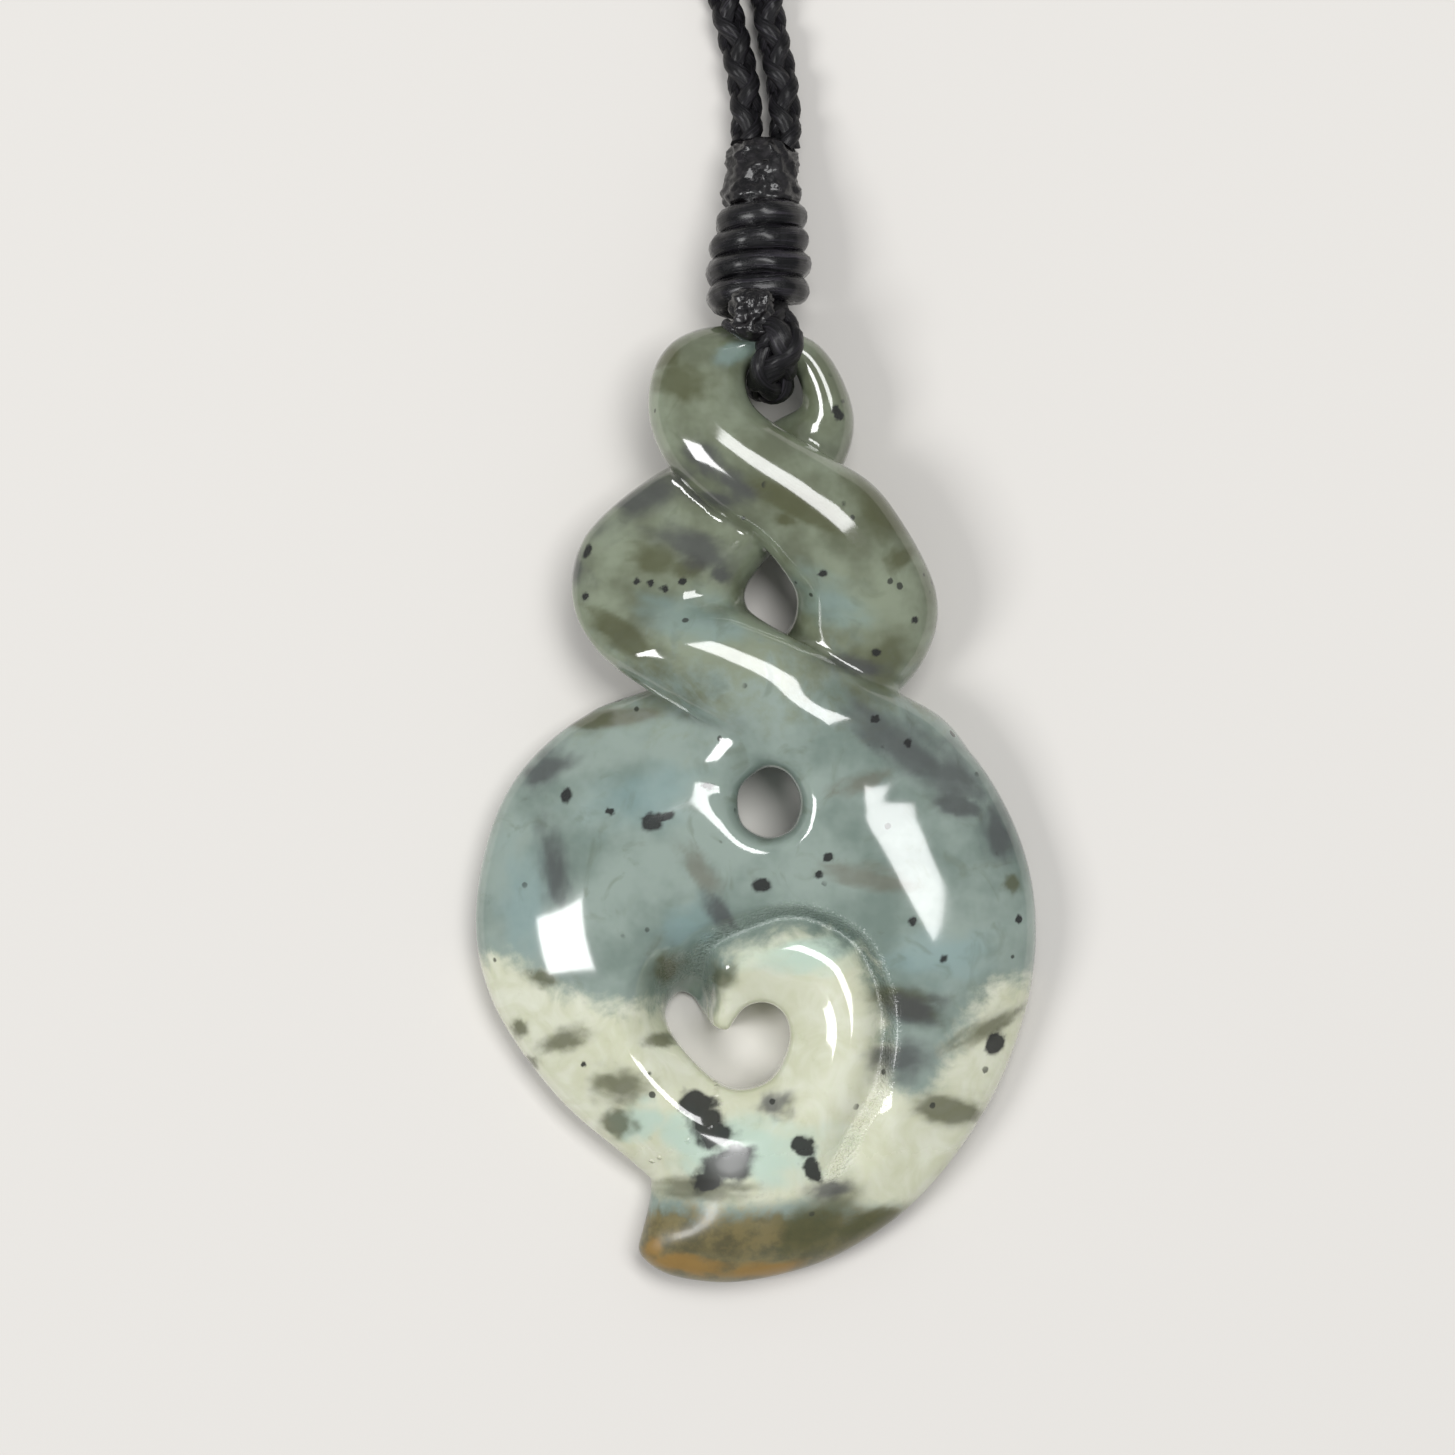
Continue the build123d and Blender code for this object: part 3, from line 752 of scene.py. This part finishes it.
# the shallow valleys to the eye and the tail, the bevel round the heart and its sunk left lobe
dome -= EYE_VALLEY_DEPTH * step_up(valley_passed, 0.5, 1) * (1 - step_up(valley_away, 0.7, 2.3))
dome -= TAIL_VALLEY_DEPTH * (1 - step_up(tail_away, 0, 2.2)) * (1 - 0.7 * tail_passed)
bevel = np.clip(1 - np.maximum(heart, 0) / HEART_BEVEL_REACH, 0, 1) ** 1.25
dome -= bevel * (HEART_BEVEL + HEART_BEVEL_MORE * step_up(-plan_x, 0.5, 3.5))
lobe = step_up(-plan_y, -3.6, 0.4) * step_up(-plan_x, 2.0, 3.0) * (1 - step_up(-plan_x, 4.2, 6.2))
lobe *= 1 - step_up(-plan_y, 0.4, 3.5)
dome = spread(dome - HEART_LOBE_DEPTH * lobe, 0.3)

# the groove round the curl, with a sloping inner bank and a steep outer one
inner = np.clip(1 - curl_side / np.interp(groove_passed, *INNER_BANK), 0, 1) ** 2.2
outer = np.clip(1 + curl_side / np.interp(groove_passed, *OUTER_BANK), 0, 1) ** 1.3
past_end = np.where(groove_passed > 0.999, 1 - step_up(from_groove, 1.5, 2.6), 1)
dome -= np.interp(groove_passed, *GROOVE_DEPTH) * np.where(curl_side > 0, inner, outer) * past_end

# the disc, the two runs of the loop, the openings and the sawn back, as one form
slopes = np.hypot(*np.gradient(dome, GRAIN))
disc = (heights[None, None, :] - dome[..., None]) / np.sqrt(1 + slopes[..., None] ** 2)
disc = cut_to(disc, np.broadcast_to(rim[..., None], lattice_shape), 0.9)
down_flat, _ = beyond_place(FLAT_MIDDLE, FLAT_FACES)
flat = FLAT_HEIGHT - FLAT_FALL * down_flat + np.maximum(-down_flat - 0.5, 0) ** 2 / 4
flat += 2 * step_up(plan_y, 26, 28.5)
stone = cut_to(loop_part(LOOP_BACK), heights[None, None, :] - flat[..., None], 0.8)
fillet = (0.35 + 1.5 * step_up(valley_away, 1.5, 5.5) * step_up(-dome_rim, -0.5, 2.0))[..., None]
stone = joined(stone, disc, fillet)
stone = joined(stone, loop_part(LOOP_FRONT), 0.3)
for hole, easing in ((heart, 0.5), (eye, 0.9)):
    stone = cut_to(stone, np.broadcast_to(-hole[..., None], lattice_shape), easing)
stone = cut_to(stone, np.broadcast_to(-heights, lattice_shape), 0.5)


def skin(depth):
    """Points and four-sided faces over the surface where a lattice of depths is 0."""
    cells = np.array(depth.shape) - 1
    points = np.zeros((cells.prod(), 3))
    counts = np.zeros(cells.prod())
    faces = []
    for axis in range(3):
        keep = [slice(None)] * 3
        keep[axis] = slice(0, -1)
        after = [slice(None)] * 3
        after[axis] = slice(1, None)
        first, second = depth[tuple(keep)], depth[tuple(after)]
        crossed = np.argwhere((first < 0) != (second < 0))
        here = tuple(crossed.T)
        at = crossed.astype(float)
        at[:, axis] += first[here] / (first[here] - second[here])
        beside = [np.eye(3, dtype=int)[(axis + turn) % 3] for turn in (1, 2)]
        corners = []
        for back in (0 * beside[0], beside[0], beside[0] + beside[1], beside[1]):
            cell = np.ravel_multi_index(tuple((crossed - back).T), cells)
            np.add.at(points, cell, at)
            np.add.at(counts, cell, 1)
            corners.append(cell)
        quads = np.stack(corners, 1)
        turned_in = first[here] > 0
        quads[turned_in] = quads[turned_in, ::-1]
        faces.append(quads)
    faces = np.vstack(faces)
    used, faces = np.unique(faces, return_inverse=True)
    return points[used] / counts[used, None], faces.reshape(-1, 4)


def depth_and_slope(depth, points):
    """The softened depth at points of a lattice, and the way it rises."""
    base = np.floor(points).astype(int)
    t = points - base
    weights = np.stack([(1 - t) ** 3, 3 * t**3 - 6 * t**2 + 4, -3 * t**3 + 3 * t**2 + 3 * t + 1, t**3]) / 6
    slopes = np.stack([-((1 - t) ** 2), 3 * t**2 - 4 * t, -3 * t**2 + 2 * t + 1, t**2]) / 2
    found = np.zeros((len(points), 4))
    for i in range(4):
        for j in range(4):
            for k in range(4):
                value = depth[base[:, 0] + i - 1, base[:, 1] + j - 1, base[:, 2] + k - 1]
                wx, wy, wz = weights[i, :, 0], weights[j, :, 1], weights[k, :, 2]
                found[:, 0] += value * wx * wy * wz
                found[:, 1] += value * slopes[i, :, 0] * wy * wz
                found[:, 2] += value * wx * slopes[j, :, 1] * wz
                found[:, 3] += value * wx * wy * slopes[k, :, 2]
    return found[:, :1], found[:, 1:]


points, faces = skin(stone)
for _ in range(3):
    depth, slope = depth_and_slope(stone, points)
    push = depth * slope / np.maximum((slope**2).sum(1, keepdims=True), 1e-4)
    points -= np.clip(push, -0.5, 0.5)
points = points * GRAIN + LATTICE_LOW
points[:, 2] = np.maximum(points[:, 2], 0)
jade_mesh = bpy.data.meshes.new("jade")
jade_mesh.from_pydata((points / 1000).tolist(), [], faces.tolist())
jade_mesh.polygons.foreach_set("use_smooth", [True] * len(jade_mesh.polygons))

# where the cream runs, as an outline, and the stains: x, y, half length, half width in millimetres
# and the turn of the length in degrees
CREAM = [
    (-14.9, 1.0), (-13.2, 1.4), (-11.5, 0.4), (-9.9, -0.6), (-8.1, -1.1), (-6.0, -1.2), (-4.4, -1.8),
    (-2.8, -1.6), (-1.8, -0.3), (-1.3, 1.2), (0.0, 2.1), (2.3, 2.7), (4.6, 2.0), (6.1, 0.2),
    (6.5, -2.4), (6.9, -5.0), (8.9, -5.9), (10.4, -3.5), (11.8, -1.2), (13.3, 0.1), (15.2, -0.3),
    (15.9, -5.0), (11.8, -10.7), (7.6, -12.0), (4.9, -11.6), (2.3, -11.3), (-0.8, -11.6), (-3.4, -11.0),
    (-6.0, -10.7), (-10.2, -8.6), (-14.4, -5.5), (-16.0, -1.3),
]
# the olive and smoke stains on the back strand's left shoulder, along the front strand's edge, are partly
# real stain and partly painted shade where the back strand passes under the front one
PATCHES = {
    "mint": [
        (0.2, -8.6, 4.2, 2.2, 0), (-3.4, -8.1, 2.4, 1.6, -30), (2.3, 1.5, 3.5, 1.3, 5),
        (9.1, 0.3, 3.1, 1.2, 5), (-6.0, -7.1, 1.6, 1.2, 0),
    ],
    "blue": [
        (-3.5, 3.1, 1.8, 1.4, 40), (9.7, 1.6, 3.1, 1.4, 10), (-6.0, 9.7, 3.1, 1.8, 10),
        (-12.3, 4.5, 1.8, 3.1, 0), (-2.9, 19.1, 3.1, 1.3, -20), (3.9, 20.2, 2.3, 1.2, -30),
        (-0.8, 33.2, 1.4, 0.73, 20),
    ],
    "amber": [
        (-3.4, -14.7, 2.4, 0.63, -8), (0.5, -15.0, 2.3, 0.52, 8), (-5.4, -14.0, 0.73, 0.63, 40),
    ],
    "brown": [
        (-1.9, -13.4, 3.7, 1, 0), (1.8, -13.2, 1.8, 0.73, 10), (-5.3, -12.9, 0.84, 0.73, 0),
        (-2.9, 6.1, 1.9, 0.63, -52), (6.2, 5.6, 2.6, 0.68, -14), (5.4, 10.6, 1.6, 0.52, 20),
        (-6.7, 14.1, 2, 0.63, 6),
    ],
    "olive": [
        (-3.8, 31.5, 1.6, 1.1, -10), (-4.8, 32.8, 1, 0.72, 30), (6.2, 25.0, 2.2, 1.1, -48),
        (-5.4, 22.4, 1.7, 0.85, 0), (-3.4, 21.9, 0.92, 0.59, 0), (12.0, -2.3, 2.2, 0.52, 28),
        (10.3, -6.6, 1.8, 0.98, -12), (-7.0, -5.3, 1.5, 0.98, -12), (-7.2, -7.4, 0.92, 0.85, -50),
        (3.3, -12.7, 2.4, 1.6, 35), (5.9, -12.4, 2, 0.79, 18), (-4.6, 0.9, 0.92, 0.72, 50),
        (-11.2, 0.4, 0.92, 0.46, -10), (7.8, -0.9, 2, 0.79, -20), (13.4, 5.3, 0.52, 0.52, 0),
        (-2.9, -10.7, 2.6, 0.65, 0), (-1.8, 0.3, 1, 0.65, 60), (-12.4, -2.3, 0.46, 0.52, 0),
        (-11.8, -4.1, 0.46, 0.33, -30), (1.6, 24.3, 0.59, 0.39, 0), (2.3, 25.0, 3.3, 0.79, -28),
        (-10.2, -2.9, 1.3, 0.65, 20), (-6.6, 18.1, 2.6, 0.65, -30), (-8.7, 13.9, 1.3, 0.79, 0),
        (7.6, 22.3, 0.92, 0.59, 30), (6.5, 17.0, 2, 1.7, 0), (-5.0, -2.9, 0.92, 0.39, 0),
    ],
    "smoke": [
        (-2.5, 27.4, 1.4, 0.85, -40), (-1.0, 26.1, 1.4, 0.65, -35), (-2.5, 25.4, 1.7, 0.46, -14),
        (-10.6, 6.3, 0.92, 2.1, 8), (7.9, 12.4, 3.5, 1.2, -40), (10.2, 11.2, 2.2, 1.4, -35),
        (10.7, 9.4, 1.3, 0.79, -18), (7.6, -3.9, 1.6, 1.2, -10), (8.3, -1.3, 1.7, 0.92, -10),
        (1.0, -6.3, 0.92, 0.72, 10), (5.1, 16.8, 1.7, 0.59, -12), (-9.6, 22.3, 0.79, 1.7, 20),
        (-7.0, 25.2, 0.65, 0.46, 0), (-1.8, 21.5, 0.65, 0.52, 0), (-3.4, 22.9, 2.6, 1, -25),
        (-1.9, 3.8, 1.2, 0.59, -50), (-6.0, 25.4, 2.9, 1, 35), (3.9, -10.7, 1.2, 0.52, 10),
        (-11.0, 11.3, 1.6, 0.92, 30), (12.8, 8.1, 0.92, 2, 10),
    ],
    "black": [
        (-3.1, -6.2, 0.89, 0.68, -10), (-2.3, -7.5, 1.1, 0.84, -35), (-1.4, -9.4, 1.3, 0.94, 20),
        (-2.6, -10.3, 0.84, 0.47, 20), (2.5, -8.4, 0.58, 0.47, -50), (3.0, -9.6, 0.58, 0.37, -60),
        (12.6, -3.1, 0.42, 0.63, -12), (-9.9, 9.9, 0.25, 0.37, 0), (-5.4, 8.5, 0.52, 0.42, 0),
        (-4.7, 8.8, 0.42, 0.17, 20), (0.3, 5.3, 0.42, 0.37, 0), (3.8, 6.7, 0.25, 0.21, 0),
        (8.2, 3.4, 0.21, 0.21, 0), (4.3, 29.9, 0.21, 0.37, 30), (3.5, 21.5, 0.21, 0.17, 0),
        (-6.2, 21.1, 0.17, 0.17, 0), (-4.8, 20.7, 0.21, 0.17, 0), (-3.8, 21.1, 0.17, 0.17, 0),
        (-8.9, 20.3, 0.17, 0.17, 0), (-2.5, 10.4, 0.37, 0.17, -20), (6.2, 13.9, 0.25, 0.17, 0),
        (7.9, 12.7, 0.17, 0.21, 0), (-7.6, 9.1, 0.21, 0.13, -30), (13.8, 3.4, 0.17, 0.25, 0),
        (6.3, 17.4, 0.21, 0.17, 0), (9.8, 1.4, 0.17, 0.17, 0), (8.3, 19.1, 0.15, 0.15, 0),
        (-5.5, 21.0, 0.15, 0.15, 0), (-9.0, -4.2, 0.13, 0.17, 0), (3.3, 5.8, 0.17, 0.17, 0),
        (-8.8, 22.7, 0.17, 0.37, -20),
    ],
}


def near_patch(patches):
    """How near each point of the stone is to an oval stain: 1 in its middle, about a third at its edge."""
    nearest = np.full(len(points), 3.0)
    for number, (x, y, long, wide, turn) in enumerate(patches):
        turn = math.radians(turn)
        off_x, off_y = points[:, 0] - x, points[:, 1] - y
        along = (off_x * math.cos(turn) + off_y * math.sin(turn)) / long
        across = (off_y * math.cos(turn) - off_x * math.sin(turn)) / wide
        away = np.hypot(along, across)
        for i in np.flatnonzero(away < 2.6):
            spot = Vector((along[i], across[i], number * 3.7))
            wander = noise.noise(spot * 1.1) + 0.6 * noise.noise(spot * 2.7)
            nearest[i] = min(nearest[i], away[i] + 0.45 * wander)
    return np.exp(-np.maximum(nearest, 0) ** 2)


def on_plan(values):
    """Values of the plan at the points of the stone."""
    spots = (points[:, :2] - LATTICE_LOW[:2]) / GRAIN
    base = np.clip(spots.astype(int), 0, np.array(lattice_shape[:2]) - 2)
    x, y = (spots - base).T
    i, j = base.T
    low = values[i, j] * (1 - x) + values[i + 1, j] * x
    return low * (1 - y) + (values[i, j + 1] * (1 - x) + values[i + 1, j + 1] * x) * y


def stone_attribute(name, values):
    stored = jade_mesh.attributes.new(name, "FLOAT", "POINT").data
    stored.foreach_set("value", np.asarray(values, np.float32))


in_front = step_up(points[:, 2], 0.8, 2.2)
ground = np.exp(-(((on_plan(curl_side) + 0.3) / 0.42) ** 2)) * step_up(on_plan(-groove_passed), -1.0, -0.97)
hollow = step_up(on_plan(lobe), 0.25, 0.7) * 0.5
stone_attribute("ground", np.maximum(ground, hollow) * in_front)
stone_attribute("cream", on_plan(-from_line(closed(np.array(CREAM)), True)[0]))
for name, patches in PATCHES.items():
    stone_attribute(name, near_patch(patches) * (in_front if name in ("black", "smoke") else 1))

DARK_GREEN, SOFT_GREEN, GREEN_WISP = colour(97, 103, 82), colour(132, 141, 120), colour(92, 100, 78)
DARK_TEAL, SOFT_TEAL, PALE_BLUE = colour(110, 126, 117), colour(142, 156, 147), colour(130, 158, 160)
IVORY, PALE_IVORY, MINT_IVORY = colour(196, 198, 170), colour(214, 216, 198), colour(180, 201, 187)
OLIVE_IVORY, BROWN_STAIN = colour(168, 172, 132), colour(96, 88, 70)
FOOT_DARK, FOOT_LIGHT, SPECK = colour(80, 72, 36), colour(118, 104, 58), colour(38, 40, 34)
# the last stains laid on: name, where each begins and is full, its wander, its strength and colour
LATE_STAINS = (
    ("amber", 0.15, 0.9, 0.4, 0.85, colour(144, 112, 54)),
    ("olive", 0.06, 0.85, 0.26, 0.8, colour(72, 74, 42)),
    ("smoke", 0.05, 0.95, 0.26, 0.8, colour(64, 65, 66)),
    ("black", 0.1, 0.5, 0.3, 0.95, colour(22, 23, 20)),
)
WITHIN = {"Subsurface_Weight": 0.25, "Subsurface_Scale": 0.001, "Subsurface_Radius": (0.8, 1.0, 0.7)}
jade = Finish("jade", IOR=1.61, **WITHIN, Coat_Roughness=0.06)
clouds = jade.grain(jade.place, 0.0048, detail=4.0, rough=0.55)
mottle = jade.grain(jade.place, 0.0011, detail=5.0, rough=0.65)
wisps = jade.grain(jade.place, 0.0024, detail=3.0, warp=1.6)
edges = mottle * 0.5 + wisps * 0.5 - 0.5
northward = jade.node("ShaderNodeSeparateXYZ", {0: jade.place}, "Y")


def stain(name, low, high, wander=0.5):
    """A stain whose edge wanders with the grain of the stone."""
    return (jade.attribute(name) + edges * wander * 2).smooth(low, high)


# green above and teal in the disc, with pale blue clouds, darker wisps and brown stains
tint = jade.mix(clouds.smooth(0.36, 0.62), DARK_GREEN, SOFT_GREEN)
disc_tint = jade.mix(clouds.smooth(0.32, 0.62), DARK_TEAL, SOFT_TEAL)
tint = jade.mix((northward * -180.0 + 3.3 + edges * 3.0).smooth(0, 1), tint, disc_tint)
tint = jade.mix(stain("blue", 0.1, 1.0, 0.3) * 0.45, tint, PALE_BLUE)
tint = jade.mix(wisps.smooth(0.55, 0.75) * 0.35, tint, GREEN_WISP)
tint = jade.mix(stain("brown", 0.1, 0.9, 0.35) * 0.55, tint, BROWN_STAIN)

# the cream lower half, minty in places, and the brown rind at the foot
cream = jade.mix(wisps.smooth(0.2, 0.85), IVORY, PALE_IVORY)
cream = jade.mix(stain("mint", 0.25, 0.9, 0.3) * 0.85, cream, MINT_IVORY)
cream = jade.mix(mottle.smooth(0.56, 0.8) * 0.3, cream, OLIVE_IVORY)
tint = jade.mix((jade.attribute("cream") + edges * 4.0).smooth(-0.9, 0.7), tint, cream)
foot = (northward * -700.0 - 7.8 + edges * 3.0).smooth(0, 1)
tint = jade.mix(foot * 0.85, tint, jade.mix(mottle.smooth(0.35, 0.65), FOOT_DARK, FOOT_LIGHT))
for name, begins, full, wander, strength, shade in LATE_STAINS:
    tint = jade.mix(stain(name, begins, full, wander) * strength, tint, shade)
specks = jade.node("ShaderNodeTexVoronoi", {"Vector": jade.place, "Scale": 620.0}, "Distance")
sparse = jade.grain(jade.place, 0.0035).smooth(0.5, 0.6)
tint = jade.mix((specks * -1.0 + edges * 0.4 + 0.13).smooth(0, 0.05) * sparse * 0.85, tint, SPECK)

# a high polish, duller towards the foot and gritty where the groove was ground out
ground_mask = jade.attribute("ground")
sheen_and_wear = (northward * -400.0 - 2.8 + edges).smooth(0, 1)
jade.paint(Base_Color=tint)
jade.paint(Roughness=0.08 + mottle * 0.05 + ground_mask * 0.42 + sheen_and_wear * 0.22)
jade.paint(Coat_Weight=0.7 - (ground_mask + sheen_and_wear).smooth(0, 1) * 0.6)
grit = jade.grain(jade.place, 0.00016, detail=2.0)
jade.relief(grit * ground_mask, 0.00022)
jade_mesh.materials.append(jade.material)
pendant = linked("jade_carving", jade_mesh)
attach(pendant, "root")
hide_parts("jade_pendant")


# The surface is plain pale paper. Over it stand two windows of soft light, one to the left and one
# to the upper right, placed where the polished stone shows them, and a paler light from all round.
FLOOR_SIZE = 6.0
PAPER, ALL_ROUND, ALL_ROUND_STRENGTH = colour(212, 209, 204), (0.93, 0.95, 1.0, 1), 0.32
floor_mesh = bpy.data.meshes.new("floor")
corners = [(x * FLOOR_SIZE / 2, y * FLOOR_SIZE / 2, 0) for x, y in ((-1, -1), (1, -1), (1, 1), (-1, 1))]
floor_mesh.from_pydata(corners, [], [(0, 1, 2, 3)])
floor = linked("floor", floor_mesh)
paper = Finish("pale_paper", Roughness=0.8)
paper.shader.inputs["Base Color"].default_value = PAPER
floor_mesh.materials.append(paper.material)


def window_of_light(name, place, width, height, power):
    """A rectangle of soft light, aimed at the stone, that the camera itself doesn't see."""
    light = bpy.data.lights.new(name, "AREA")
    light.shape = "RECTANGLE"
    light.size = width
    light.size_y = height
    light.energy = power
    lamp = linked(name, light)
    lamp.location = place
    lamp.rotation_euler = (Vector((0, 0.01, 0)) - Vector(place)).to_track_quat("-Z", "Y").to_euler()
    lamp.visible_camera = False


window_of_light("left_window", (-0.44, -0.09, 0.56), width=0.22, height=0.28, power=2.35)
window_of_light("right_window", (0.162, 0.180, 0.667), width=0.50, height=0.26, power=3.45)
world = bpy.data.worlds.new("studio")
bpy.context.scene.world = world
world.use_nodes = True
world.node_tree.nodes["Background"].inputs["Color"].default_value = ALL_ROUND
world.node_tree.nodes["Background"].inputs["Strength"].default_value = ALL_ROUND_STRENGTH
bpy.context.scene.view_settings.view_transform = "Standard"
